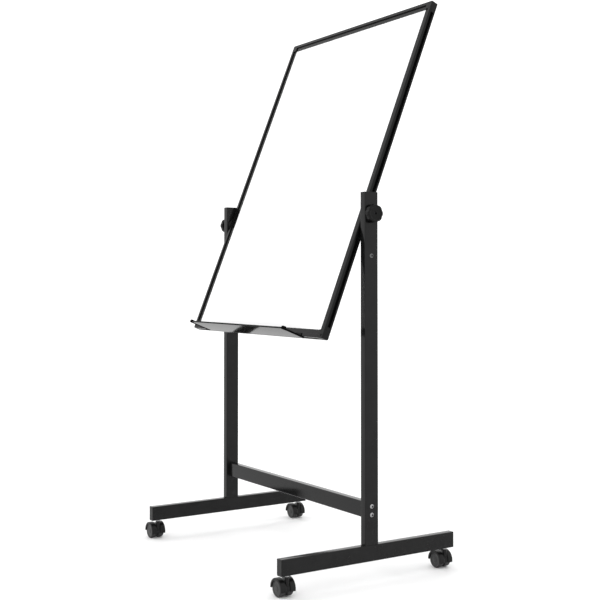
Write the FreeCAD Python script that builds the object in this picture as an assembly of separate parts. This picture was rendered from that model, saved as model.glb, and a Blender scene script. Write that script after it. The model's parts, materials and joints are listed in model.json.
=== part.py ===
"""Mobile tilting board easel.

An H-shaped steel stand on four twin-wheel casters carries a framed, double-faced writing board
between two uprights. Star knobs clamp two pivot bolts, so the board tilts about them and slides
along the slots in its own side rails.

Frame: +X to the right, +Y to the rear, +Z up, in millimetres. The origin lies on the floor,
midway between the uprights.
"""
import FreeCAD, Part
import math
import os

V = FreeCAD.Vector
X_AXIS = V(1, 0, 0)
Y_AXIS = V(0, 1, 0)
Z_AXIS = V(0, 0, 1)

# ---- driving dimensions -------------------------------------------------------------------
TUBE_NARROW = 25.0            # every stand tube is 25 x 50
TUBE_DEEP = 50.0
TUBE_WALL = 1.5
TUBE_CORNER = 2.5

UPRIGHT_X = 439.0             # upright centre lines at +-X
UPRIGHT_TOP = 1211.0
FOOT_LENGTH = 660.0
FOOT_BOTTOM = 67.0
CROSSBAR_Z = 223.0            # its centre line, between the uprights' own
CAP_THICKNESS = 2.0

PIVOT_Z = 1143.0
TILT_DEG = 21.9               # board leans back by this much at rest

BOARD_WIDTH = 845.4
BOARD_ABOVE_PIVOT = 764.0
BOARD_BELOW_PIVOT = 417.4
FRAME_THICKNESS = 25.0
FRAME_FACE = 27.0             # from the outer side to the writing surface
PANEL_THICKNESS = 13.0
SHEET_THICKNESS = 0.4

TRAY_LENGTH = 614.0
TRAY_REACH = 75.0             # in front of the frame's front face

KNOB_DIAMETER = 58.0
KNOB_RIM = 16.5
KNOB_FACE_OUT = 23.0          # outer face of the knob to the outer face of the upright
PIVOT_BOLT_R = 5.0
RUNNING_CLEARANCE = 0.06
FACE_GAP = 0.3                # between flat faces that turn or slide on each other
PRESS_GAP = 0.03              # on the radius of round fits that do not turn
PAST = 1.0                    # how far a cutter runs past the faces it opens

WHEEL_R = 25.0
WHEEL_WIDTH = 20.0
WHEEL_GAP = 7.0               # between the two wheels of a caster
CASTER_TRAIL = 22.0           # stem to axle, towards -X
CASTER_INSET = 27.2           # stem to the end of the foot
STEM_R = 4.0

# ---- worked out from them -----------------------------------------------------------------
UPRIGHT_INNER = UPRIGHT_X - TUBE_NARROW / 2
UPRIGHT_OUTER = UPRIGHT_X + TUBE_NARROW / 2
FOOT_TOP = FOOT_BOTTOM + TUBE_DEEP
HALF_FOOT = FOOT_LENGTH / 2
HALF_BOARD = BOARD_WIDTH / 2
HALF_FRAME = FRAME_THICKNESS / 2
HALF_PANEL = PANEL_THICKNESS / 2
CASTER_Y = HALF_FOOT - CASTER_INSET
SIDES = {"left": -1, "right": 1}
ENDS = {"front": -1, "rear": 1}


# ---- helpers ------------------------------------------------------------------------------
def block(x0, x1, y0, y1, z0, z1):
    """Box between two sets of limits, given in any order."""
    xa, xb = sorted((x0, x1))
    ya, yb = sorted((y0, y1))
    za, zb = sorted((z0, z1))
    return Part.makeBox(xb - xa, yb - ya, zb - za, V(xa, ya, za))


def round_edges_along(shape, axis, radius):
    """Fillet the straight edges that run along one axis."""
    edges = []
    for edge in shape.Edges:
        run = edge.Vertexes[-1].Point.sub(edge.Vertexes[0].Point)
        if run.Length > 1e-6 and abs(run.normalize().dot(axis)) > 0.999:
            edges.append(edge)
    return shape.makeFillet(radius, edges)


def rod(radius, start, end):
    """Cylinder from one point to another."""
    run = end.sub(start)
    return Part.makeCylinder(radius, run.Length, start, run)


def tube(outer, axis):
    """Tube with rounded corners and open ends, from the block that bounds it."""
    box = outer.BoundBox
    wall = [TUBE_WALL, TUBE_WALL, TUBE_WALL]
    for index, unit in enumerate((X_AXIS, Y_AXIS, Z_AXIS)):
        if abs(unit.dot(axis)) > 0.5:
            wall[index] = -PAST
    inner = block(box.XMin + wall[0], box.XMax - wall[0], box.YMin + wall[1], box.YMax - wall[1],
                  box.ZMin + wall[2], box.ZMax - wall[2])
    inner = round_edges_along(inner, axis, TUBE_CORNER - TUBE_WALL)
    return round_edges_along(outer, axis, TUBE_CORNER).cut(inner)


def mirrored(shape, side):
    """The right-hand piece as it is, or its mirror image for the left."""
    return shape if side > 0 else shape.mirror(V(0, 0, 0), X_AXIS)


def on_board(shape):
    """Move a piece from the upright board frame to its tilted place on the stand.

    The board frame has its origin on the pivot axis, +Z up the board and -Y out of its front.
    """
    placed = shape.copy()
    placed.rotate(V(0, 0, 0), X_AXIS, -TILT_DEG)
    placed.translate(V(0, 0, PIVOT_Z))
    return placed


SOCKET_FLOOR = 0.35           # height of a socket's floor, as a share of the head's


def button_screw(seat, direction, head_r, head_height, shank_r, shank_length, socket):
    """Button-head screw seated at a point, its head standing out along direction."""
    dome_r = (head_r ** 2 + head_height ** 2) / (2 * head_height)
    centre = V(0, 0, head_height - dome_r)
    head = Part.makeSphere(dome_r, centre).common(Part.makeCylinder(head_r, head_height))
    hexagon = [V(socket / math.sqrt(3) * math.cos(k * math.pi / 3),
                 socket / math.sqrt(3) * math.sin(k * math.pi / 3), head_height * SOCKET_FLOOR)
               for k in range(7)]
    recess = Part.Face(Part.makePolygon(hexagon)).extrude(V(0, 0, head_height))
    screw = head.cut(recess).fuse(Part.makeCylinder(shank_r, shank_length, V(0, 0, -shank_length)))
    screw.Placement = FreeCAD.Placement(seat, FreeCAD.Rotation(Z_AXIS, direction))
    return screw


# ---- stand --------------------------------------------------------------------------------
BOLT_PITCH = 26.0
BOLT_HOLE_R = 4.2
BOLT_LENGTH = 35.0
TAPPED_R = 4.0                # tapped holes for the M8 screws
M8_HEAD = dict(head_r=7.0, head_height=4.2, shank_r=3.95, socket=5.0)
TRAY_SCREW = dict(head_r=3.6, head_height=2.2, shank_r=1.95, shank_length=8.0, socket=2.5)
CORNER_SCREW = dict(head_r=2.9, head_height=1.8, shank_r=1.45, shank_length=9.0, socket=2.0)
END_PLATE = 8.0
UPPER_SCREW_Z = 1012.0
UPPER_SCREW_LENGTH = 10.0
UPPER_INSERT_LENGTH = 12.0
SLEEVE_R = 7.0
SLEEVE_BORE = PIVOT_BOLT_R + RUNNING_CLEARANCE
INSERT_R = 5.5
PLUG_DEPTH = 16.0
PLUG_FIT = 0.1                # between a plug's skirt and the tube
PLUG_POCKET = 4.0             # from a plug's rim to its pocket


def bolt_heights():
    return (CROSSBAR_Z - BOLT_PITCH / 2, CROSSBAR_Z + BOLT_PITCH / 2)


def upright():
    """Right upright: a tube welded on the foot, drilled for the bolts, screw and pivot."""
    shape = tube(block(UPRIGHT_INNER, UPRIGHT_OUTER, -TUBE_DEEP / 2, TUBE_DEEP / 2,
                       FOOT_TOP, UPRIGHT_TOP - CAP_THICKNESS), Z_AXIS)
    through = [(BOLT_HOLE_R, z) for z in bolt_heights()] + [(SLEEVE_R, PIVOT_Z)]
    for radius, z in through:
        shape = shape.cut(rod(radius, V(UPRIGHT_INNER - PAST, 0, z),
                              V(UPRIGHT_OUTER + PAST, 0, z)))
    return shape.cut(rod(INSERT_R, V(UPRIGHT_X, 0, UPPER_SCREW_Z),
                         V(UPRIGHT_OUTER + PAST, 0, UPPER_SCREW_Z)))


def plug(along, position, inward):
    """Moulded cap that closes a tube end: an outer plate and a hollow spigot.

    along is the tube's axis, position the outer face on it, and inward +1 or -1.
    """
    half_deep = TUBE_DEEP / 2
    half_narrow = TUBE_NARROW / 2
    plate = block(-half_narrow, half_narrow, -half_deep, half_deep, 0, CAP_THICKNESS)
    plate = round_edges_along(plate, Z_AXIS, TUBE_CORNER)
    fit = TUBE_WALL + PLUG_FIT
    skirt = block(-half_narrow + fit, half_narrow - fit, -half_deep + fit, half_deep - fit,
                  -PLUG_DEPTH, 0)
    skirt = round_edges_along(skirt, Z_AXIS, TUBE_CORNER - TUBE_WALL)
    pocket = block(-half_narrow + PLUG_POCKET, half_narrow - PLUG_POCKET,
                   -half_deep + PLUG_POCKET, half_deep - PLUG_POCKET,
                   -PLUG_DEPTH - PAST, -CAP_THICKNESS)
    cap = plate.fuse(skirt.cut(pocket)).removeSplitter()
    cap.translate(V(0, 0, -CAP_THICKNESS))
    if along is Z_AXIS:
        cap.translate(V(UPRIGHT_X, 0, position))
        return cap
    cap.rotate(V(0, 0, 0), X_AXIS, 90.0 * inward)
    cap.translate(V(UPRIGHT_X, position, FOOT_BOTTOM + half_deep))
    return cap


def foot():
    """Right foot: a tube along Y, drilled underneath for the caster inserts."""
    half = HALF_FOOT - CAP_THICKNESS
    shape = tube(block(UPRIGHT_INNER, UPRIGHT_OUTER, -half, half, FOOT_BOTTOM, FOOT_TOP), Y_AXIS)
    for end in ENDS.values():
        base = V(UPRIGHT_X, end * CASTER_Y, FOOT_BOTTOM - PAST)
        shape = shape.cut(rod(INSERT_R, base, base.add(V(0, 0, TUBE_WALL + 2 * PAST))))
    return shape


def crossbar():
    """Tube between the uprights, open at its bolted ends."""
    return tube(block(-UPRIGHT_INNER, UPRIGHT_INNER, -TUBE_NARROW / 2, TUBE_NARROW / 2,
                      CROSSBAR_Z - TUBE_DEEP / 2, CROSSBAR_Z + TUBE_DEEP / 2), X_AXIS)


def crossbar_end_plate():
    """Tapped plate welded inside the right end of the crossbar."""
    half_y = TUBE_NARROW / 2 - TUBE_WALL
    half_z = TUBE_DEEP / 2 - TUBE_WALL
    inner_face = UPRIGHT_INNER - END_PLATE
    plate = block(inner_face, UPRIGHT_INNER, -half_y, half_y,
                  CROSSBAR_Z - half_z, CROSSBAR_Z + half_z)
    plate = round_edges_along(plate, X_AXIS, TUBE_CORNER - TUBE_WALL)
    for z in bolt_heights():
        plate = plate.cut(rod(TAPPED_R, V(inner_face - PAST, 0, z),
                              V(UPRIGHT_INNER + PAST, 0, z)))
    return plate


def crossbar_bolts():
    """The two bolts through the right upright into the crossbar."""
    return [button_screw(V(UPRIGHT_OUTER, 0, z), X_AXIS, shank_length=BOLT_LENGTH, **M8_HEAD)
            for z in bolt_heights()]


def upper_insert():
    """Rivet nut in the outer wall of the right upright."""
    start = V(UPRIGHT_OUTER - UPPER_INSERT_LENGTH, 0, UPPER_SCREW_Z)
    end = V(UPRIGHT_OUTER, 0, UPPER_SCREW_Z)
    return rod(INSERT_R - PRESS_GAP, start, end).cut(
        rod(TAPPED_R, start.sub(X_AXIS), end.add(X_AXIS)))


def upper_screw():
    """Short screw that fills the upper insert."""
    return button_screw(V(UPRIGHT_OUTER, 0, UPPER_SCREW_Z), X_AXIS,
                        shank_length=UPPER_SCREW_LENGTH, **M8_HEAD)


def pivot_sleeve():
    """Steel spacer that lines the pivot hole and keeps the clamp from crushing the tube."""
    start = V(UPRIGHT_INNER, 0, PIVOT_Z)
    end = V(UPRIGHT_OUTER, 0, PIVOT_Z)
    return rod(SLEEVE_R - PRESS_GAP, start, end).cut(
        rod(SLEEVE_BORE, start.sub(X_AXIS), end.add(X_AXIS)))


KNOB_WASHER_THICKNESS = 1.5
KNOB_WASHER_R = 12.0


def knob_washer():
    """Steel washer on the outer face of the right upright, under the knob."""
    start = V(UPRIGHT_OUTER, 0, PIVOT_Z)
    end = V(UPRIGHT_OUTER + KNOB_WASHER_THICKNESS, 0, PIVOT_Z)
    return rod(KNOB_WASHER_R, start, end).cut(
        rod(SLEEVE_BORE, start.sub(X_AXIS), end.add(X_AXIS)))


# ---- casters ------------------------------------------------------------------------------
HOOD_R = 32.0
HOOD_SADDLE_R = 28.5
HOOD_EDGE = 2.4               # rounding of the fenders' rims
WELL_R = WHEEL_R + 1.0
SADDLE_HALF_WIDTH = 7.5
WEB_HALF = WHEEL_GAP / 2 - 0.5
WEB_INSET = 2.0               # of the web's rim under the saddle's
WHEEL_OUTER = WHEEL_GAP / 2 + WHEEL_WIDTH
WELL_OUTER = WHEEL_OUTER + 0.6
HOOD_HALF_WIDTH = WELL_OUTER + 1.9
LIP_R = WHEEL_R - 1.0
SKIRT_DEG = 5.0               # the hood's lower edge drops towards the stem
SKIRT_DROP = 3.5              # and passes this far below the axle
BOSS_R = 6.5
BOSS_BOTTOM = 34.0
BOSS_TOP = 62.7
COLLAR_R = 7.0
STEM_TIP = 46.0
STEM_TOP = 89.0
WEB_BOTTOM = 12.0
AXLE_R = 3.0
AXLE_INSET = 2.0              # from the wheel's outer face to the end of the axle
STEM_INSERT_TOP = 85.0
STEM_FLANGE_R = 8.0
STEM_FLANGE = 1.5
TREAD_ROUNDING = 2.6
DISH_R = 20.0                 # hollows in both faces of a wheel run out to here
DISH_DEPTH = 1.0
RELIEF_DEPTH = 5.0
OUTER_BOSS_R = 9.0
INNER_BOSS_R = 6.0
HUB_SKIN = 1.7                # closes the hub over the axle's end


def caster_stem(x, y):
    """Threaded stem and its collar, fixed in the foot."""
    shank = rod(STEM_R, V(x, y, STEM_TIP), V(x, y, STEM_TOP))
    collar = rod(COLLAR_R, V(x, y, BOSS_TOP + FACE_GAP), V(x, y, FOOT_BOTTOM))
    return shank.fuse(collar).removeSplitter()


def caster_insert(x, y):
    """Tapped insert riveted in the underside of the foot."""
    seat = FOOT_BOTTOM + TUBE_WALL
    barrel = rod(INSERT_R - PRESS_GAP, V(x, y, FOOT_BOTTOM), V(x, y, STEM_INSERT_TOP))
    flange = rod(STEM_FLANGE_R, V(x, y, seat), V(x, y, seat + STEM_FLANGE))
    bore = rod(STEM_R + PRESS_GAP, V(x, y, FOOT_BOTTOM - PAST), V(x, y, STEM_INSERT_TOP + PAST))
    return barrel.fuse(flange).cut(bore).removeSplitter()


def disc(radius, y0, y1):
    """Cylinder about the caster's axle, in the caster's own frame (stem on the Z axis)."""
    return rod(radius, V(-CASTER_TRAIL, y0, WHEEL_R), V(-CASTER_TRAIL, y1, WHEEL_R))


def caster_hood():
    """Swivelling body: two fenders, a lower saddle, a web between the wheels and a stem boss."""
    reach = HOOD_R + PAST
    axle = V(-CASTER_TRAIL, 0, WHEEL_R)
    upper_half = block(-CASTER_TRAIL - reach, -CASTER_TRAIL + reach, -reach, reach,
                       WHEEL_R - SKIRT_DROP, WHEEL_R + 2 * reach)
    upper_half.rotate(axle, Y_AXIS, SKIRT_DEG)
    shell = disc(HOOD_SADDLE_R, -SADDLE_HALF_WIDTH, SADDLE_HALF_WIDTH)
    for side in (-1, 1):
        fender = disc(HOOD_R, side * SADDLE_HALF_WIDTH, side * HOOD_HALF_WIDTH)
        rims = [edge for edge in fender.Edges if edge.BoundBox.YLength < 0.01]
        shell = shell.fuse(fender.makeFillet(HOOD_EDGE, rims))
    shell = shell.common(upper_half)
    shell = shell.fuse(rod(BOSS_R, V(0, 0, BOSS_BOTTOM), V(0, 0, BOSS_TOP)))
    for side in (-1, 1):
        shell = shell.cut(disc(WELL_R, side * WEB_HALF, side * WELL_OUTER))
        shell = shell.cut(disc(LIP_R, side * (WELL_OUTER - PAST), side * (HOOD_HALF_WIDTH + PAST)))
    below_web = block(-CASTER_TRAIL - reach, -CASTER_TRAIL + reach, -reach, reach,
                      WHEEL_R - reach, WEB_BOTTOM)
    web = disc(HOOD_SADDLE_R - WEB_INSET, -WEB_HALF, WEB_HALF).cut(below_web)
    shell = shell.fuse(web).cut(disc(AXLE_R + PRESS_GAP, -reach, reach))
    bore = rod(STEM_R + RUNNING_CLEARANCE, V(0, 0, STEM_TIP - PAST), V(0, 0, BOSS_TOP + PAST))
    return shell.cut(bore).removeSplitter()


def caster_axle():
    """Steel pin pressed through the hood's web."""
    half = WHEEL_OUTER - AXLE_INSET
    return disc(AXLE_R, -half, half)


def caster_wheel(side):
    """Moulded wheel with rounded treads, a dished outer face and a blind hub."""
    near = side * WHEEL_GAP / 2
    far = side * WHEEL_OUTER
    wheel = disc(WHEEL_R, near, far)
    rims = [edge for edge in wheel.Edges if edge.BoundBox.YLength < 0.01]
    wheel = wheel.makeFillet(TREAD_ROUNDING, rims)
    dish = disc(DISH_R, far - side * DISH_DEPTH, far + side * PAST).cut(
        disc(OUTER_BOSS_R, near, far + side * 2 * PAST))
    relief = disc(DISH_R, near - side * PAST, near + side * RELIEF_DEPTH).cut(
        disc(INNER_BOSS_R, near - side * 2 * PAST, far))
    bore = disc(AXLE_R + RUNNING_CLEARANCE, near - side * PAST, far - side * HUB_SKIN)
    return wheel.cut(dish).cut(relief).cut(bore)


# ---- board, in its own upright frame ------------------------------------------------------
BAND = 12.0                   # width of the proud outer band of the frame's face
STEP = 4.0                    # from that band down to the inner one
SLOT_MOUTH = 5.5              # half widths and depths of the T-slot in the frame's outer side
SLOT_ROOM = 8.5
SLOT_LIP = 2.5
SLOT_DEPTH = 8.5
CHANNEL_FLOOR = 18.5
PANEL_FIT = 0.1               # between the panel's faces and the channel
PANEL_ROOM = 0.5              # between its edges and the channel's floor
CHANNEL_HALF = HALF_PANEL + PANEL_FIT
CHAMBER = (10.3, 16.9, 6.5)   # inner chamber: from, to, half height
TAB_LENGTH = 11.0             # a corner's tabs fill the slots this far past its block
SPIGOT_LENGTH = 24.0
SPIGOT_FIT = 0.15
TONGUE_HALF = SLOT_ROOM - 3.2
RAIL_ROUNDING = 2.0
CORNER_ROUNDING = 5.0
SCREW_INSET = 15.4            # corner screws: from the outer side, and past the corner block
SCREW_PAST = 12.0
SCREW_ROOM = 0.5              # left under the end of a tray or corner screw
RECESS = (7.5, 12.5, 6.0, 13.5, 2.5)   # small pocket in the lower corners: x, z and depth
BOARD_TOP = BOARD_ABOVE_PIVOT
BOARD_BOTTOM = -BOARD_BELOW_PIVOT


def frame_section():
    """Outline of the frame profile as (distance inwards, depth) pairs."""
    half = [(0, HALF_FRAME), (BAND, HALF_FRAME), (BAND, HALF_FRAME - STEP),
            (FRAME_FACE, HALF_FRAME - STEP), (FRAME_FACE, CHANNEL_HALF),
            (CHANNEL_FLOOR, CHANNEL_HALF)]
    slot = [(SLOT_DEPTH, SLOT_ROOM), (SLOT_LIP, SLOT_ROOM), (SLOT_LIP, SLOT_MOUTH), (0, SLOT_MOUTH)]
    lower = [(u, -v) for u, v in reversed(half)]
    lower_slot = [(u, -v) for u, v in reversed(slot)]
    return half + lower + lower_slot + slot


def rail(start, inwards, run):
    """Extrude the frame profile from a point on the outer side, along run."""
    def wire(points):
        corners = [start.add(inwards * u).add(Y_AXIS * v) for u, v in points]
        return Part.makePolygon(corners + corners[:1])
    low, high, half = CHAMBER
    chamber = [(low, -half), (high, -half), (high, half), (low, half)]
    solid = Part.Face([wire(frame_section()), wire(chamber)]).extrude(run)
    outer = []
    for edge in solid.Edges:
        middle = edge.CenterOfMass.sub(start)
        at_outer_side = abs(middle.dot(inwards)) < 1e-6
        at_face = abs(abs(middle.y) - HALF_FRAME) < 1e-6
        if at_outer_side and at_face and edge.Length > run.Length - 1:
            outer.append(edge)
    return solid.makeFillet(RAIL_ROUNDING, outer)


def side_rail():
    """Right side rail, between the corner caps."""
    return rail(V(HALF_BOARD, 0, BOARD_BOTTOM + FRAME_FACE), V(-1, 0, 0),
                V(0, 0, BOARD_TOP - BOARD_BOTTOM - 2 * FRAME_FACE))


def cross_rail(z_outer, inwards):
    """Top or bottom rail, between the corner caps."""
    half = HALF_BOARD - FRAME_FACE
    return rail(V(-half, 0, z_outer), inwards, V(2 * half, 0, 0))


def corner_leg(x_dir, z_dir):
    """Tab and spigot that reach from a corner into the upright rail beside it."""
    x = HALF_BOARD * x_dir
    base = FRAME_FACE * z_dir
    low, high, half = CHAMBER
    fit = SPIGOT_FIT
    lip = block(x, x - x_dir * (SLOT_LIP - fit), -SLOT_MOUTH + fit, SLOT_MOUTH - fit,
                base, base + z_dir * TAB_LENGTH)
    tongue = block(x - x_dir * (SLOT_LIP - fit), x - x_dir * (SLOT_DEPTH - fit),
                   -TONGUE_HALF, TONGUE_HALF, base, base + z_dir * TAB_LENGTH)
    spigot = block(x - x_dir * (low + fit), x - x_dir * (high - fit), -half + fit, half - fit,
                   base, base + z_dir * SPIGOT_LENGTH)
    return lip.fuse(tongue).fuse(spigot)


def corner_cap(x_dir, z_dir):
    """Moulded corner block with its legs, for the corner at the given side and end."""
    x = HALF_BOARD * x_dir
    cube = block(x, x - x_dir * FRAME_FACE, -HALF_FRAME, HALF_FRAME, 0, z_dir * FRAME_FACE)
    outer = [edge for edge in cube.Edges if abs(edge.CenterOfMass.x - x) < 1e-6
             and abs(edge.CenterOfMass.z) < 1e-6]
    cube = cube.makeFillet(CORNER_ROUNDING, outer)
    rims = []
    for edge in cube.Edges:
        middle = edge.CenterOfMass
        inner_x = abs(middle.x - (x - x_dir * FRAME_FACE)) < 1e-6
        inner_z = abs(middle.z - z_dir * FRAME_FACE) < 1e-6
        if abs(abs(middle.y) - HALF_FRAME) < 1e-6 and not inner_x and not inner_z:
            rims.append(edge)
    cube = cube.makeFillet(RAIL_ROUNDING, rims)
    if z_dir > 0:
        near, far, low, high, depth = RECESS
        cube = cube.cut(block(x - x_dir * near, x - x_dir * far,
                              -HALF_FRAME - PAST, -HALF_FRAME + depth, low, high))
    side_leg = corner_leg(x_dir, z_dir)
    end_leg = side_leg.mirror(V(x, 0, 0), V(x_dir, 0, z_dir).normalize())
    cap = cube.fuse(side_leg).fuse(end_leg)
    z_outer = BOARD_TOP if z_dir < 0 else BOARD_BOTTOM
    cap.translate(V(0, 0, z_outer))
    return cap


def panel_layer(y0, y1, growth=0.0):
    """One layer of the board between the frame's channels."""
    inset = CHANNEL_FLOOR + PANEL_ROOM - growth
    return block(-HALF_BOARD + inset, HALF_BOARD - inset, y0, y1,
                 BOARD_BOTTOM + inset, BOARD_TOP - inset)


def corner_screw_seats():
    """Seats on the rear of the rails, over the corner spigots."""
    past = FRAME_FACE + SCREW_PAST
    seats = []
    for x_dir in SIDES.values():
        for z_outer, z_dir in ((BOARD_TOP, -1), (BOARD_BOTTOM, 1)):
            for x, depth in ((HALF_BOARD - SCREW_INSET, past), (HALF_BOARD - past, SCREW_INSET)):
                seats.append(V(x_dir * x, HALF_FRAME - STEP, z_outer + z_dir * depth))
    return seats


def screw_holes(seats, direction, screw):
    """Cutter for the holes under a set of equal screws."""
    depth = screw["shank_length"] + SCREW_ROOM
    return Part.makeCompound([rod(screw["shank_r"] + PRESS_GAP, seat.add(direction),
                                  seat.sub(direction * depth)) for seat in seats])


# ---- marker tray, in the board frame ------------------------------------------------------
TRAY_SHEET = 2.0
TRAY_BACK = -10.0             # how far the tray tucks under the bottom rail
TRAY_LIP = 5.4
TRAY_FLANGE = 11.0
TRAY_SCREW_UP = 6.05          # the flange's screws, above the tray's floor
TRAY_ROUNDING = 0.8
TRAY_CAP = 5.0
TRAY_CAP_DROP = 1.4           # below the tray's underside
TRAY_CAP_HEIGHT = 5.4
NOSE_HEIGHT = 10.5
NOSE_LAP = 4.0                # the nose laps over the end of the tray
NOSE_BACK = 11.0              # behind the lip's front face
NOSE_FRONT = 2.6              # and in front of it
NOSE_ROUNDING = 3.0
PEN_RIBS = (27.0, 50.0)
PEN_RIB_HALF = 1.0
PEN_RIB_HEIGHT = 1.2


def out(distance):
    """Y in the board frame of a plane in front of the frame's front face."""
    return -HALF_FRAME - distance


def tray():
    """Extruded tray: a floor under the bottom rail, a screwed flange, pen ribs and a front lip."""
    half = TRAY_LENGTH / 2
    top = BOARD_BOTTOM
    bottom = top - TRAY_SHEET
    floor = block(-half, half, out(TRAY_BACK), out(TRAY_REACH), bottom, top)
    lip = block(-half, half, out(TRAY_REACH - TRAY_SHEET), out(TRAY_REACH),
                bottom, bottom + TRAY_LIP)
    flange = block(-half, half, out(0), out(TRAY_SHEET), bottom, top + TRAY_FLANGE)
    body = floor.fuse(lip).fuse(flange).removeSplitter()
    for reach in PEN_RIBS:
        rib = block(-half, half, out(reach - PEN_RIB_HALF), out(reach + PEN_RIB_HALF),
                    top - TRAY_SHEET / 2, top + PEN_RIB_HEIGHT)
        body = body.fuse(rib)
    body = body.removeSplitter()
    front = [edge for edge in body.Edges if edge.Length > TRAY_LENGTH - 1
             and abs(edge.CenterOfMass.y - out(TRAY_REACH)) < 1e-6]
    return body.makeFillet(TRAY_ROUNDING, front)


def tray_cap():
    """Right end cap: a thin end plate with a rounded nose around the lip."""
    x = TRAY_LENGTH / 2
    low = BOARD_BOTTOM - TRAY_SHEET - TRAY_CAP_DROP
    plate = block(x, x + TRAY_CAP, out(TRAY_BACK + PAST), out(TRAY_REACH - NOSE_BACK / 2),
                  low, low + TRAY_CAP_HEIGHT)
    nose = block(x - NOSE_LAP, x + TRAY_CAP, out(TRAY_REACH - NOSE_BACK),
                 out(TRAY_REACH + NOSE_FRONT), low, low + NOSE_HEIGHT)
    nose = round_edges_along(nose, X_AXIS, NOSE_ROUNDING)
    rail_room = block(x - NOSE_LAP, x + 2 * TRAY_CAP, out(0), out(TRAY_BACK - PAST),
                      BOARD_BOTTOM, BOARD_BOTTOM + NOSE_HEIGHT)
    return plate.fuse(nose).cut(tray()).cut(rail_room).removeSplitter()


def tray_screw_seats():
    """Seats on the front of the tray's flange."""
    z = BOARD_BOTTOM + TRAY_SCREW_UP
    return [V(x, out(TRAY_SHEET), z) for x in (-TRAY_LENGTH / 3, 0.0, TRAY_LENGTH / 3)]


# ---- pivots and knobs ---------------------------------------------------------------------
T_HEAD = (3.0, 8.0, 16.0)     # T-head of the pivot bolt: from, to (inwards), width
T_HEAD_HALF_LENGTH = 12.0
BOLT_END = UPRIGHT_OUTER + KNOB_WASHER_THICKNESS + 15.0
PAD_R = 19.0


def pivot_bolt():
    """Right T-bolt: its head slides in the side rail, its shank is the pivot."""
    near, far, width = T_HEAD
    head = block(HALF_BOARD - near, HALF_BOARD - far, -width / 2, width / 2,
                 -T_HEAD_HALF_LENGTH, T_HEAD_HALF_LENGTH)
    shank = rod(PIVOT_BOLT_R, V(HALF_BOARD - near, 0, 0), V(BOLT_END, 0, 0))
    return on_board(head.fuse(shank).removeSplitter())


def friction_pad():
    """Nylon washer on the bolt, between the right side rail and the upright."""
    start = V(HALF_BOARD + FACE_GAP, 0, PIVOT_Z)
    end = V(UPRIGHT_INNER - FACE_GAP, 0, PIVOT_Z)
    return rod(PAD_R, start, end).cut(
        rod(PIVOT_BOLT_R + PRESS_GAP, start.sub(X_AXIS), end.add(X_AXIS)))


KNOB_LOBES = 8
KNOB_HUB_R = 11.5
KNOB_DISH = 1.6
KNOB_ROUNDING = 2.2
KNOB_BAND = 6.5               # flat band round the dished face
DISH_SLOPE = 2.0              # the dish narrows by this much on the radius
KNOB_INSERT_R = 8.0
KNOB_INSERT_LENGTH = 15.0
KNOB_HOLE_R = 4.2
SCALLOP_R = 7.0
SCALLOP_BITE = 1.9


def knob():
    """Right star knob, along X, with a hub towards the upright and a dished outer face."""
    face = UPRIGHT_OUTER + KNOB_FACE_OUT
    rim = face - KNOB_RIM
    hub = UPRIGHT_OUTER + KNOB_WASHER_THICKNESS + FACE_GAP
    radius = KNOB_DIAMETER / 2
    head = rod(radius, V(rim, 0, 0), V(face, 0, 0))
    rims = [edge for edge in head.Edges if edge.BoundBox.XLength < 0.01]
    head = head.makeFillet(KNOB_ROUNDING, rims)
    dish_r = radius - KNOB_BAND
    dish = Part.makeCone(dish_r - DISH_SLOPE, dish_r, KNOB_DISH, V(face - KNOB_DISH, 0, 0), X_AXIS)
    body = head.cut(dish).fuse(rod(KNOB_HUB_R, V(hub, 0, 0), V(rim + PAST, 0, 0)))
    for lobe in range(KNOB_LOBES):
        angle = 2 * math.pi * (lobe + 0.5) / KNOB_LOBES
        reach = radius + SCALLOP_R - SCALLOP_BITE
        start = V(rim - PAST, reach * math.cos(angle), reach * math.sin(angle))
        body = body.cut(rod(SCALLOP_R, start, start.add(X_AXIS * (KNOB_RIM + 2 * PAST))))
    body = body.cut(rod(KNOB_INSERT_R, V(hub - PAST, 0, 0), V(hub + KNOB_INSERT_LENGTH, 0, 0)))
    body = body.cut(rod(KNOB_HOLE_R, V(hub, 0, 0), V(face + PAST, 0, 0)))
    body.translate(V(0, 0, PIVOT_Z))
    return body


def knob_insert():
    """Tapped brass insert moulded into the right knob."""
    hub = UPRIGHT_OUTER + KNOB_WASHER_THICKNESS + FACE_GAP
    start = V(hub, 0, PIVOT_Z)
    end = V(hub + KNOB_INSERT_LENGTH, 0, PIVOT_Z)
    return rod(KNOB_INSERT_R - PRESS_GAP, start, end).cut(
        rod(PIVOT_BOLT_R + RUNNING_CLEARANCE, start.sub(X_AXIS), end.add(X_AXIS)))


# ---- assembly -----------------------------------------------------------------------------
def stand_nodes():
    nodes = {}
    for name, side in SIDES.items():
        nodes["upright_" + name] = mirrored(upright(), side)
        nodes["upright_cap_" + name] = mirrored(plug(Z_AXIS, UPRIGHT_TOP, -1), side)
        nodes["foot_" + name] = mirrored(foot(), side)
    both = {
        "foot_end_caps": [plug(Y_AXIS, end * HALF_FOOT, -end) for end in ENDS.values()],
        "crossbar_end_plates": [crossbar_end_plate()],
        "crossbar_bolts": crossbar_bolts(),
        "upper_inserts": [upper_insert()],
        "upper_screws": [upper_screw()],
        "pivot_sleeves": [pivot_sleeve()],
        "knob_washers": [knob_washer()],
        "caster_inserts": [caster_insert(UPRIGHT_X, end * CASTER_Y) for end in ENDS.values()],
        "caster_stems": [caster_stem(UPRIGHT_X, end * CASTER_Y) for end in ENDS.values()],
    }
    for name, pieces in both.items():
        nodes[name] = Part.makeCompound([mirrored(piece, side) for side in SIDES.values()
                                         for piece in pieces])
    nodes["crossbar"] = crossbar()
    return nodes


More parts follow.
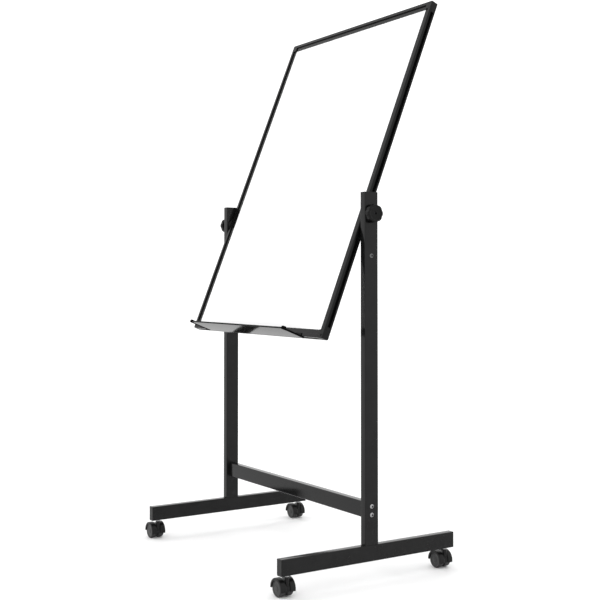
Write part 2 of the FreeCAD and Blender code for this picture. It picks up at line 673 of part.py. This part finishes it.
def board_nodes():
    panel_room = panel_layer(-CHANNEL_HALF, CHANNEL_HALF, PANEL_FIT)
    front = V(0, -1, 0)
    tray_holes = screw_holes(tray_screw_seats(), front, TRAY_SCREW)
    corner_holes = screw_holes(corner_screw_seats(), Y_AXIS, CORNER_SCREW)
    skin = HALF_PANEL - SHEET_THICKNESS
    nodes = {
        "rail_top": cross_rail(BOARD_TOP, V(0, 0, -1)).cut(corner_holes),
        "rail_bottom": cross_rail(BOARD_BOTTOM, Z_AXIS).cut(corner_holes).cut(tray_holes),
        "writing_sheet_front": panel_layer(-HALF_PANEL, -skin),
        "board_core": panel_layer(-skin, skin),
        "writing_sheet_rear": panel_layer(skin, HALF_PANEL),
        "corner_screws": Part.makeCompound([button_screw(seat, Y_AXIS, **CORNER_SCREW)
                                            for seat in corner_screw_seats()]),
        "marker_tray": tray().cut(tray_holes),
        "tray_screws": Part.makeCompound([button_screw(seat, front, **TRAY_SCREW)
                                          for seat in tray_screw_seats()]),
    }
    for name, side in SIDES.items():
        nodes["rail_" + name] = mirrored(side_rail(), side).cut(corner_holes)
        nodes["tray_cap_" + name] = mirrored(tray_cap(), side)
        for level, z_dir in (("top", -1), ("bottom", 1)):
            cap = corner_cap(side, z_dir).cut(panel_room)
            nodes["corner_" + level + "_" + name] = cap.cut(corner_holes)
    return {name: on_board(shape) for name, shape in nodes.items()}


def pivot_nodes():
    nodes = {}
    for name, side in SIDES.items():
        nodes["pivot_bolt_" + name] = mirrored(pivot_bolt(), side)
        nodes["friction_pad_" + name] = mirrored(friction_pad(), side)
        nodes["knob_" + name] = mirrored(knob(), side)
        nodes["knob_insert_" + name] = mirrored(knob_insert(), side)
    return nodes


def caster_nodes():
    nodes = {}
    hood = caster_hood()
    axle = caster_axle()
    wheels = {end: caster_wheel(side) for end, side in ENDS.items()}
    for end_name, end in ENDS.items():
        for side_name, side in SIDES.items():
            place = V(side * UPRIGHT_X, end * CASTER_Y, 0)
            tail = end_name + "_" + side_name
            pieces = {"caster_hood_" + tail: hood, "caster_axle_" + tail: axle}
            for wheel_end, wheel in wheels.items():
                pieces["wheel_" + tail + "_" + wheel_end] = wheel
            for name, shape in pieces.items():
                placed = shape.copy()
                placed.translate(place)
                nodes[name] = placed
    return nodes


def main():
    os.makedirs("parts", exist_ok=True)
    nodes = {}
    for group in (stand_nodes, board_nodes, pivot_nodes, caster_nodes):
        nodes.update(group())
    for name, shape in nodes.items():
        if not shape.isValid():
            raise ValueError(name + " is not a valid shape")
        shape.exportStep("parts/" + name + ".step")
    print(len(nodes), "nodes")


main()
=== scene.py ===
"""Looks of the mobile tilting board easel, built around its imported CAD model.

Metres, +X right, +Y rear, +Z up, origin on the floor midway between the uprights.
"""
import json
import math

import bmesh
import bpy
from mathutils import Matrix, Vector


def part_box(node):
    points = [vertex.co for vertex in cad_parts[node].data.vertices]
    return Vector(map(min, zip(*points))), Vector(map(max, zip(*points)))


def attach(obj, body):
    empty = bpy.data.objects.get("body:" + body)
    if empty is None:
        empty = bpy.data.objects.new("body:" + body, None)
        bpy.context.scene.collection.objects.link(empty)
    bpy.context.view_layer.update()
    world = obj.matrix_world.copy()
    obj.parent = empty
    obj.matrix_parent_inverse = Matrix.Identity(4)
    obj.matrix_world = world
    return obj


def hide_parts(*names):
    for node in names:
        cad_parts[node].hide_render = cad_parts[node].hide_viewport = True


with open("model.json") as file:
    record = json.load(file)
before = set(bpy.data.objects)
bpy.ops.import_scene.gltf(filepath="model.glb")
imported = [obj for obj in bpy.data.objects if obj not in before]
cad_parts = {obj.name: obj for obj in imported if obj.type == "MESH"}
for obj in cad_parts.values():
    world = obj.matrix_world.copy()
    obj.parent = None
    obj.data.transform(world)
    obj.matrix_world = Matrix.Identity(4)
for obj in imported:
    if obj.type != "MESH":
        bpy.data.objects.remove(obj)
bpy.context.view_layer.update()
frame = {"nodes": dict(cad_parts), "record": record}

MM = 0.001
WELD = 1e-6                    # points nearer to each other than this are one
FLAT_DEG = 0.5                 # faces that meet at less than this are one flat
SHARP_DEG = 30.0               # edges that turn by more than this are eased
SIDES = {"left": -1, "right": 1}
ENDS = {"front": -1, "rear": 1}
CORNERS = [end + "_" + side for end in ENDS for side in SIDES]
SLOTS = {entry["node"]: entry["material_slot"] for entry in frame["record"]["subparts"]}
BODY_OF = {node: body for body, nodes in frame["record"]["behaviour"]["bodies"].items()
           for node in nodes}


def board_tilt():
    """Lean of the board at rest, from the normal of the tray's floor, which points up the board."""
    mounts = {mount["name"]: mount for mount in frame["record"]["mounts"]}
    up = Vector(mounts["marker_tray_floor"]["axis"])
    return math.atan2(up.y, up.z)


# ---- materials ----------------------------------------------------------------------------
NOISE_LOW = 0.3                # the part of a noise's range that is used; the rest is clamped
NOISE_HIGH = 0.7
ALONG_X = 0
ALONG_Z = 2


class Paint:
    """A Principled material, with short-hands for the nodes that vary it."""

    def __init__(self, name, **constants):
        self.material = bpy.data.materials.new(name)
        self.material.use_nodes = True
        self.tree = self.material.node_tree
        self.shader = self.tree.nodes["Principled BSDF"]
        for socket, value in constants.items():
            self.shader.inputs[socket.replace("_", " ")].default_value = value
        self.coordinates = self.tree.nodes.new("ShaderNodeTexCoord").outputs["Object"]

    def link(self, output, socket):
        self.tree.links.new(output, socket)

    def stretched(self, scale, turn):
        """Object coordinates, turned and scaled."""
        mapping = self.tree.nodes.new("ShaderNodeMapping")
        mapping.vector_type = "TEXTURE"
        mapping.inputs["Rotation"].default_value = turn
        mapping.inputs["Scale"].default_value = scale
        self.link(self.coordinates, mapping.inputs["Vector"])
        return mapping.outputs["Vector"]

    def noise(self, size, detail=2.0, vector=None):
        """Noise with features of about the given size, in metres."""
        node = self.tree.nodes.new("ShaderNodeTexNoise")
        node.inputs["Scale"].default_value = 1 / size
        node.inputs["Detail"].default_value = detail
        self.link(vector or self.coordinates, node.inputs["Vector"])
        return node.outputs["Fac"]

    def vary(self, socket, factor, low, high):
        """Let a noise move one of the shader's values between low and high."""
        node = self.tree.nodes.new("ShaderNodeMapRange")
        node.inputs["From Min"].default_value = NOISE_LOW
        node.inputs["From Max"].default_value = NOISE_HIGH
        node.inputs["To Min"].default_value = low
        node.inputs["To Max"].default_value = high
        self.link(factor, node.inputs["Value"])
        self.link(node.outputs["Result"], self.shader.inputs[socket])

    def tint(self, factor, dark, light):
        """Base colour that drifts between two colours."""
        node = self.tree.nodes.new("ShaderNodeValToRGB")
        start, end = node.color_ramp.elements
        start.position = NOISE_LOW
        start.color = (*dark, 1)
        end.position = NOISE_HIGH
        end.color = (*light, 1)
        self.link(factor, node.inputs["Fac"])
        self.link(node.outputs["Color"], self.shader.inputs["Base Color"])

    def bump(self, height, depth, strength):
        """Bump of the given depth, in metres."""
        node = self.tree.nodes.new("ShaderNodeBump")
        node.inputs["Strength"].default_value = strength
        node.inputs["Distance"].default_value = depth
        self.link(height, node.inputs["Height"])
        self.link(node.outputs["Normal"], self.shader.inputs["Normal"])


def grey(value):
    """A grey with a trace of blue."""
    return (value, value, value * 1.02)


def powder_coat():
    """Smooth black powder coat, with a faint orange peel."""
    paint = Paint("stand_paint", Specular_IOR_Level=0.18)
    paint.tint(paint.noise(0.05), grey(0.0055), grey(0.0075))
    paint.vary("Roughness", paint.noise(0.03, 4), 0.11, 0.16)
    paint.bump(paint.noise(0.0011), 0.00002, 0.5)
    return paint


def anodised(name, along, turn=(0.0, 0.0, 0.0), smooth=0.14, rough=0.22, specular=0.14):
    """Black anodised extrusion, with faint die lines along one axis of the turned frame."""
    paint = Paint(name, Specular_IOR_Level=specular)
    scale = [1.0, 1.0, 1.0]
    scale[along] = 60.0
    grain = paint.noise(0.0007, 3, paint.stretched(scale, turn))
    paint.tint(paint.noise(0.04), grey(0.0030), grey(0.0048))
    paint.vary("Roughness", grain, smooth, rough)
    paint.bump(grain, 0.00001, 0.5)
    return paint


def moulded(name, dark, light, rough, specular, grain=0.0006, depth=0.00002):
    """Moulded plastic with a fine spark-eroded grain."""
    paint = Paint(name, Specular_IOR_Level=specular)
    paint.tint(paint.noise(0.02), grey(dark), grey(light))
    paint.vary("Roughness", paint.noise(0.006, 4), rough - 0.04, rough + 0.05)
    paint.bump(paint.noise(grain, 3), depth, 0.6)
    return paint


def enamel():
    """Glossy white enamel on steel, slightly uneven under its clear coat."""
    paint = Paint("white_enamel", Specular_IOR_Level=0.5, Coat_Weight=0.3, Coat_Roughness=0.06)
    paint.tint(paint.noise(0.3), (0.935, 0.938, 0.94), (0.95, 0.952, 0.953))
    paint.vary("Roughness", paint.noise(0.08, 5), 0.16, 0.24)
    paint.bump(paint.noise(0.004), 0.000015, 0.4)
    return paint


def metal(name, colour, rough, size):
    """Bare metal with a mottle of the given size."""
    paint = Paint(name, Metallic=1.0)
    low = tuple(channel * 0.86 for channel in colour)
    paint.tint(paint.noise(size * 6), low, colour)
    paint.vary("Roughness", paint.noise(size, 4), rough - 0.06, rough + 0.08)
    paint.bump(paint.noise(size * 0.3, 3), 0.00001, 0.5)
    return paint


def core_card():
    """Brown fibrous card."""
    paint = Paint("core_board")
    paint.tint(paint.noise(0.004, 6), (0.42, 0.31, 0.20), (0.58, 0.45, 0.31))
    paint.vary("Roughness", paint.noise(0.002, 4), 0.75, 0.9)
    paint.bump(paint.noise(0.001, 4), 0.0001, 0.6)
    return paint


PAINTS = {
    "stand_paint": powder_coat(),
    "cap_plastic": moulded("cap_plastic", 0.004, 0.006, rough=0.42, specular=0.24),
    "black_anodised": anodised("black_anodised", ALONG_X),
    "corner_plastic": moulded("corner_plastic", 0.004, 0.006, rough=0.38, specular=0.14),
    "white_enamel": enamel(),
    "core_board": core_card(),
    "bright_steel": metal("bright_steel", (0.34, 0.34, 0.345), rough=0.34, size=0.002),
    "zinc_steel": metal("zinc_steel", (0.50, 0.50, 0.52), rough=0.42, size=0.003),
    "nylon": moulded("nylon", 0.004, 0.008, rough=0.55, specular=0.4, grain=0.0008),
    "knob_plastic": moulded("knob_plastic", 0.0025, 0.004, rough=0.42, specular=0.13,
                            grain=0.0007, depth=0.00003),
    # Brass darkened far below its own colour: painted shade for the inserts, which sit deep in
    # their holes.
    "brass": metal("brass", (0.16, 0.12, 0.06), rough=0.45, size=0.002),
    "caster_plastic": moulded("caster_plastic", 0.003, 0.005, rough=0.32, specular=0.20,
                              grain=0.0009, depth=0.00001),
    "wheel_plastic": moulded("wheel_plastic", 0.012, 0.018, rough=0.42, specular=0.40,
                             grain=0.0009),
}
SIDE_RAIL = anodised("black_anodised_upright", ALONG_Z, turn=(-board_tilt(), 0.0, 0.0))
TRAY_FINISH = anodised("tray_finish", ALONG_X, smooth=0.06, rough=0.12, specular=0.05)
TRAY_CAP_FINISH = moulded("tray_cap_finish", 0.0015, 0.0025, rough=0.85, specular=0.03)
DULL_STEEL = metal("dull_steel", (0.13, 0.13, 0.132), rough=0.36, size=0.002)
# Near-black metal for the pivot bolts: painted shade, so the bolt's end deep in each knob's centre
# hole reads dark.
HOLE_SHADE_METAL = metal("hole_shade_metal", (0.05, 0.05, 0.055), rough=0.50, size=0.002)
# Near-black matte laid into the screws' hex sockets: painted shade that stands in for the darkness
# of the deep hole.
SOCKET_PAINTED_SHADE = moulded("socket_shadow", 0.0015, 0.0025, rough=0.75, specular=0.1)
# The pivot bolts take this painted shade in place of their own finish.
SHADED_BOLTS = ["pivot_bolt_left", "pivot_bolt_right"]
for node, cad in frame["nodes"].items():
    finish = HOLE_SHADE_METAL if node in SHADED_BOLTS else PAINTS[SLOTS[node]]
    cad.data.materials.clear()
    cad.data.materials.append(finish.material)


# ---- pieces -------------------------------------------------------------------------------
def piece(name, mesh, nodes, paint=None):
    """Put a finished mesh in the scene in place of one or more CAD nodes of one body."""
    obj = bpy.data.objects.new(name, mesh)
    bpy.context.scene.collection.objects.link(obj)
    mesh.materials.append((paint or PAINTS[SLOTS[nodes[0]]]).material)
    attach(obj, BODY_OF[nodes[0]])
    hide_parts(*nodes)
    return obj


def shade(bm, sharp_deg):
    """Smooth shading with edges kept sharp past an angle."""
    for face in bm.faces:
        face.smooth = True
    for edge in bm.edges:
        turn = edge.calc_face_angle(0.0) if edge.is_manifold else math.pi
        edge.smooth = turn < math.radians(sharp_deg)


def softened(node, width, paint=None, segments=2):
    """The CAD node's own shape with its flats made whole and its sharp edges eased."""
    bm = bmesh.new()
    bm.from_mesh(frame["nodes"][node].data)
    bmesh.ops.remove_doubles(bm, verts=bm.verts, dist=WELD)
    flat = math.radians(FLAT_DEG)
    bmesh.ops.dissolve_limit(bm, angle_limit=flat, verts=bm.verts, edges=bm.edges)
    shade(bm, SHARP_DEG)
    mesh = bpy.data.meshes.new(node + "_eased")
    bm.to_mesh(mesh)
    bm.free()
    obj = piece(node + "_eased", mesh, [node], paint)
    ease = obj.modifiers.new("ease", "BEVEL")
    ease.width = width
    ease.segments = segments
    ease.limit_method = "ANGLE"
    ease.angle_limit = math.radians(SHARP_DEG)
    ease.use_clamp_overlap = False
    ease.harden_normals = True


def sweep(bm, profile, ring, steps, painted_shade_rows=0):
    """Skin right round between copies of a profile, whose points ring(point, step) places.

    The first painted_shade_rows of faces along the profile get the mesh's second material, which
    holds the painted shade.
    """
    rows = [[bm.verts.new(ring(point, step)) for point in profile] for step in range(steps)]
    for row, after in zip(rows, rows[1:] + rows[:1]):
        for k in range(len(profile) - 1):
            face = bm.faces.new((row[k], row[k + 1], after[k + 1], after[k]))
            face.material_index = int(k < painted_shade_rows)


def finish_mesh(bm, name, sharp_deg=35):
    """Weld, face outwards, shade and hand over."""
    bmesh.ops.remove_doubles(bm, verts=bm.verts, dist=WELD)
    bmesh.ops.recalc_face_normals(bm, faces=bm.faces)
    shade(bm, sharp_deg)
    mesh = bpy.data.meshes.new(name)
    bm.to_mesh(mesh)
    bm.free()
    return mesh


def rounded(corners, steps=4):
    """Polyline whose (along, out, reach) corners are blended over that reach on either side."""
    points = []
    for k, (along, out, reach) in enumerate(corners):
        here = Vector((along, out))
        if reach == 0:
            points.append(here)
            continue
        start = here + (Vector(corners[k - 1][:2]) - here).normalized() * reach
        end = here + (Vector(corners[k + 1][:2]) - here).normalized() * reach
        for step in range(steps + 1):
            t = step / steps
            points.append(start * (1 - t) ** 2 + here * 2 * t * (1 - t) + end * t ** 2)
    return points


def middle(node):
    """Centre of a node's box."""
    low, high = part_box(node)
    return (low + high) / 2


# ---- stand --------------------------------------------------------------------------------
TUBE_EASE = 0.4 * MM


def stand_tubes():
    """Tubes and the plugs in their open ends."""
    for node in ("upright_left", "upright_right", "foot_left", "foot_right", "crossbar",
                 "upright_cap_left", "upright_cap_right", "foot_end_caps"):
        softened(node, TUBE_EASE)


# ---- screws -------------------------------------------------------------------------------
SCREW_TURNS = 48
DOME_ROWS = 6
SOCKET_FLATS = 5.0 * MM        # across the hexagon
SOCKET_FLOOR = 0.35            # share of the head's height that is left under the socket
MOUTH = 1.22                   # radius of the socket's mouth over half its flats
MOUTH_DROP = 0.1 * MM          # of the hexagon's top edge below the mouth
DOME_EDGE = 0.97               # share of the head's radius that is domed
RIM_HEIGHT = 0.25 * MM


def screw_head(bm, seat, direction, head_r, height):
    """Button head on a seat: dome, rounded rim and a hexagon socket with a broken edge, the
    socket's faces set apart for a painted shade.
    """
    turn = direction.to_track_quat("Z", "Y").to_matrix()
    dome_r = (head_r ** 2 + height ** 2) / (2 * height)
    half_flat = SOCKET_FLATS / 2
    mouth = half_flat * MOUTH
    floor_height = SOCKET_FLOOR * height

    def dome(radius):
        return height - dome_r + math.sqrt(dome_r ** 2 - radius ** 2)

    socket = [(0.0, floor_height), (half_flat, floor_height), (half_flat, dome(mouth) - MOUTH_DROP)]
    radii = [mouth + (head_r * DOME_EDGE - mouth) * k / DOME_ROWS for k in range(DOME_ROWS + 1)]
    rim = [(head_r, RIM_HEIGHT), (head_r, 0.0), (0.0, 0.0)]
    profile = socket + [(radius, dome(radius)) for radius in radii] + rim

    def ring(point, step):
        radius, rise = point
        angle = 2 * math.pi * step / SCREW_TURNS
        if radius == half_flat:
            off_flat = (angle + math.pi / 6) % (math.pi / 3) - math.pi / 6
            radius = half_flat / math.cos(off_flat)
        return seat + turn @ Vector((radius * math.cos(angle), radius * math.sin(angle), rise))

    # The socket's faces take the mesh's second material, the painted shade.
    sweep(bm, profile, ring, SCREW_TURNS, len(socket))


def outer_seats(node, spread):
    """Seats on the uprights' outer faces, at the centres of a node's own heads."""
    low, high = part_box(node)
    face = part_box("upright_right")[1].x
    y = (low.y + high.y) / 2
    z = (low.z + high.z) / 2
    return [(side, Vector((side * face, y, z + off))) for side in SIDES.values() for off in spread]


def stand_screws():
    """The crossbar's bolts, two to an upright, and the single screw above them."""
    head_r = (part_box("upper_screws")[1].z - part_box("upper_screws")[0].z) / 2
    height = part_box("upper_screws")[1].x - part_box("upright_right")[1].x
    low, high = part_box("crossbar_bolts")
    half_pitch = (high.z - low.z) / 2 - head_r
    for node, spread, finish in (
            ("crossbar_bolts", (-half_pitch, half_pitch), PAINTS["bright_steel"]),
            ("upper_screws", (0.0,), DULL_STEEL)):
        bm = bmesh.new()
        for side, seat in outer_seats(node, spread):
            screw_head(bm, seat, Vector((side, 0, 0)), head_r, height)
        heads = piece(node + "_heads", finish_mesh(bm, node + "_heads"), [node], finish)
        # Second material for the socket faces: a near-black painted shade.
        heads.data.materials.append(SOCKET_PAINTED_SHADE.material)


# ---- board --------------------------------------------------------------------------------
RAIL_EASE = 0.35 * MM
CORNER_EASE = 0.3 * MM
TRAY_CAP_EASE = 0.5 * MM


def board():
    """Frame rails, their corners, and the marker tray with its end caps."""
    for node in ("rail_top", "rail_bottom"):
        softened(node, RAIL_EASE)
    softened("marker_tray", RAIL_EASE, TRAY_FINISH)
    for node in ("rail_left", "rail_right"):
        softened(node, RAIL_EASE, SIDE_RAIL)
    for level in ("top", "bottom"):
        for side in SIDES:
            softened("corner_" + level + "_" + side, CORNER_EASE)
    for side in SIDES:
        softened("tray_cap_" + side, TRAY_CAP_EASE, TRAY_CAP_FINISH)


# ---- knobs --------------------------------------------------------------------------------
KNOB_LOBES = 8
KNOB_TURNS = KNOB_LOBES * 16
KNOB_SHARP_DEG = 50
KNOB_HEAD = 16.5 * MM          # length of the lobed part
KNOB_HUB_R = 11.5 * MM
KNOB_HUB_DRAFT = 0.6 * MM      # by which the hub widens towards the lobed part
KNOB_TAPER = 0.4 * MM          # by which the lobed part narrows towards its face
KNOB_RING = 7.5 * MM           # from the knob's radius in to the edge of the dish in its face
KNOB_DISH = 1.5 * MM
KNOB_DISH_WALL = 2.0 * MM      # width of the dish's sloping wall
KNOB_HOLE_R = 4.2 * MM
KNOB_HOLE_DEPTH = 7.0 * MM
KNOB_HOLE_EASE = 0.7 * MM
KNOB_BORE_R = 5.2 * MM
LOBE_DEPTH = 1.9 * MM
LOBED_FROM = 0.6               # share of the radius where the hollows between lobes begin
LOBE_BLUNTNESS = 2.2


def knob(side):
    """Lobed hand knob: hub, rounded skirt, eased rim, dished face and a hole for the bolt's end."""
    node = "knob_" + side
    low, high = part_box(node)
    centre = middle(node)
    outwards = SIDES[side]
    inner = min(abs(low.x), abs(high.x))
    outer = max(abs(low.x), abs(high.x))
    radius = (high.z - low.z) / 2
    skirt = outer - KNOB_HEAD
    dish = outer - KNOB_DISH
    hole_end = outer - KNOB_HOLE_DEPTH
    ring_r = radius - KNOB_RING
    corners = [
        (inner, KNOB_BORE_R, 0),
        (inner, KNOB_HUB_R, 0.8 * MM),
        (skirt, KNOB_HUB_R + KNOB_HUB_DRAFT, 1.0 * MM),
        (skirt, radius, 2.4 * MM),
        (outer, radius - KNOB_TAPER, 2.8 * MM),
        (outer, ring_r, 1.5 * MM),
        (dish, ring_r - KNOB_DISH_WALL, 2.0 * MM),
        (dish, KNOB_HOLE_R + KNOB_HOLE_EASE, 0.4 * MM),
        (dish - KNOB_HOLE_EASE, KNOB_HOLE_R, 0.3 * MM),
        (hole_end, KNOB_HOLE_R, 0),
        (hole_end, KNOB_BORE_R, 0),
        (inner, KNOB_BORE_R, 0),
    ]

    def ring(point, step):
        angle = 2 * math.pi * step / KNOB_TURNS
        lobed = (point.y - LOBED_FROM * radius) / ((1 - LOBED_FROM) * radius)
        share = max(0.0, min(1.0, lobed))
        between_lobes = 0.5 - 0.5 * math.cos(KNOB_LOBES * angle)
        reach = point.y - LOBE_DEPTH * share * between_lobes ** LOBE_BLUNTNESS
        return Vector((outwards * point.x, reach * math.cos(angle),
                       centre.z + reach * math.sin(angle)))

    bm = bmesh.new()
    sweep(bm, rounded(corners, 6), ring, KNOB_TURNS)
    piece(node + "_moulding", finish_mesh(bm, node + "_moulding", KNOB_SHARP_DEG), [node])


# ---- casters ------------------------------------------------------------------------------
HOOD_EASE = 0.5 * MM
WHEEL_TURNS = 72
WHEEL_BORE_R = 3.4 * MM
WHEEL_BLIND = 1.6 * MM         # from the end of the blind bore to the wheel's outer face
WHEEL_HUB_R = 6.0 * MM
WHEEL_RELIEF = 4 * MM          # depth of the ring-shaped hollow in the wheel's back
WHEEL_RELIEF_R = (7.0 * MM, 19.0 * MM)
WHEEL_BACK_R = 20.5 * MM       # where the hollow's sloping wall meets the wheel's back
WHEEL_CROWN = 0.6 * MM         # by which the tread's edges are lower than its middle
WHEEL_RIM = 4.2 * MM           # from the tread in to the edge of the raised rim
WHEEL_DISH = 1.1 * MM
WHEEL_DISH_EDGE = 5.0 * MM     # from the tread in to the foot of the dish's wall
WHEEL_BOSS_R = 7.8 * MM
WHEEL_BOSS_DRAFT = 0.8 * MM
WHEEL_BOSS_DROP = 0.1 * MM     # of the boss below the rim
WHEEL_BOSS_FLAT_R = 2.0 * MM


def wheel(corner, end):
    """Twin wheel half: crowned tread, raised rim, dished web, hub boss and a relieved back."""
    node = "wheel_" + corner + "_" + end
    low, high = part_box(node)
    centre = middle(node)
    outwards = ENDS[end]
    radius = (high.z - low.z) / 2
    half = (high.y - low.y) / 2
    bore_end = half - WHEEL_BLIND
    relief = WHEEL_RELIEF - half
    dish = half - WHEEL_DISH
    boss = half - WHEEL_BOSS_DROP
    corners = [
        (bore_end, 0.0, 0),
        (bore_end, WHEEL_BORE_R, 0),
        (-half, WHEEL_BORE_R, 0),
        (-half, WHEEL_HUB_R, 0.5 * MM),
        (relief, WHEEL_RELIEF_R[0], 1 * MM),
        (relief, WHEEL_RELIEF_R[1], 1 * MM),
        (-half, WHEEL_BACK_R, 0.8 * MM),
        (-half, radius - WHEEL_CROWN, 2.4 * MM),
        (0.0, radius, 0),
        (half, radius - WHEEL_CROWN, 3.0 * MM),
        (half, radius - WHEEL_RIM, 0.5 * MM),
        (dish, radius - WHEEL_DISH_EDGE, 0.8 * MM),
        (dish, WHEEL_BOSS_R + WHEEL_BOSS_DRAFT, 0.8 * MM),
        (boss, WHEEL_BOSS_R, 0.8 * MM),
        (boss, WHEEL_BOSS_FLAT_R, 0),
        (boss, 0.0, 0),
    ]

    def ring(point, step):
        angle = 2 * math.pi * step / WHEEL_TURNS
        return centre + Vector((point.y * math.cos(angle), outwards * point.x,
                                point.y * math.sin(angle)))

    bm = bmesh.new()
    sweep(bm, rounded(corners), ring, WHEEL_TURNS)
    piece(node + "_moulding", finish_mesh(bm, node + "_moulding"), [node])


def casters():
    """The four hoods, each with its two wheels."""
    for corner in CORNERS:
        softened("caster_hood_" + corner, HOOD_EASE, segments=3)
        for end in ENDS:
            wheel(corner, end)


stand_tubes()
stand_screws()
board()
for side in SIDES:
    knob(side)
casters()


# ---- floor, light and camera --------------------------------------------------------------
FLOOR_REACH = 40.0             # metres from the origin to its edges
KEY_DIRECTION = (0.45, 0.62, -1.0)
CAMERA_PLACE = (3.1585, -2.0169, 0.9387)
CAMERA_RISE_DEG = 91.34        # from straight down
CAMERA_TURN_DEG = 57.09        # from straight ahead towards the left


def floor():
    """Plain pale floor."""
    bm = bmesh.new()
    bmesh.ops.create_grid(bm, x_segments=8, y_segments=8, size=FLOOR_REACH)
    mesh = bpy.data.meshes.new("floor")
    bm.to_mesh(mesh)
    bm.free()
    paint = Paint("floor", Specular_IOR_Level=0.2)
    paint.tint(paint.noise(0.5), (0.90, 0.90, 0.90), (0.92, 0.92, 0.92))
    paint.vary("Roughness", paint.noise(0.02), 0.6, 0.7)
    mesh.materials.append(paint.material)
    obj = bpy.data.objects.new("floor", mesh)
    bpy.context.scene.collection.objects.link(obj)


def studio():
    """An even white studio, with one soft key light from above the front left."""
    world = bpy.data.worlds.new("studio")
    world.use_nodes = True
    background = world.node_tree.nodes["Background"]
    background.inputs["Color"].default_value = (1, 1, 1, 1)
    background.inputs["Strength"].default_value = 1.35
    bpy.context.scene.world = world
    key = bpy.data.lights.new("key", "SUN")
    key.energy = 0.2
    key.angle = math.radians(12)
    obj = bpy.data.objects.new("key", key)
    obj.rotation_euler = Vector(KEY_DIRECTION).to_track_quat("-Z", "Y").to_euler()
    bpy.context.scene.collection.objects.link(obj)
    bpy.context.scene.view_settings.view_transform = "Standard"


def camera():
    """Camera on the front right, at about half the easel's height, looking up a little."""
    data = bpy.data.cameras.new("camera")
    data.lens = 65.0
    data.sensor_width = 36.0
    data.shift_y = -0.0768
    data.clip_end = 200
    obj = bpy.data.objects.new("camera", data)
    obj.location = CAMERA_PLACE
    obj.rotation_euler = (math.radians(CAMERA_RISE_DEG), 0, math.radians(CAMERA_TURN_DEG))
    bpy.context.scene.collection.objects.link(obj)
    bpy.context.scene.camera = obj


floor()
studio()
camera()
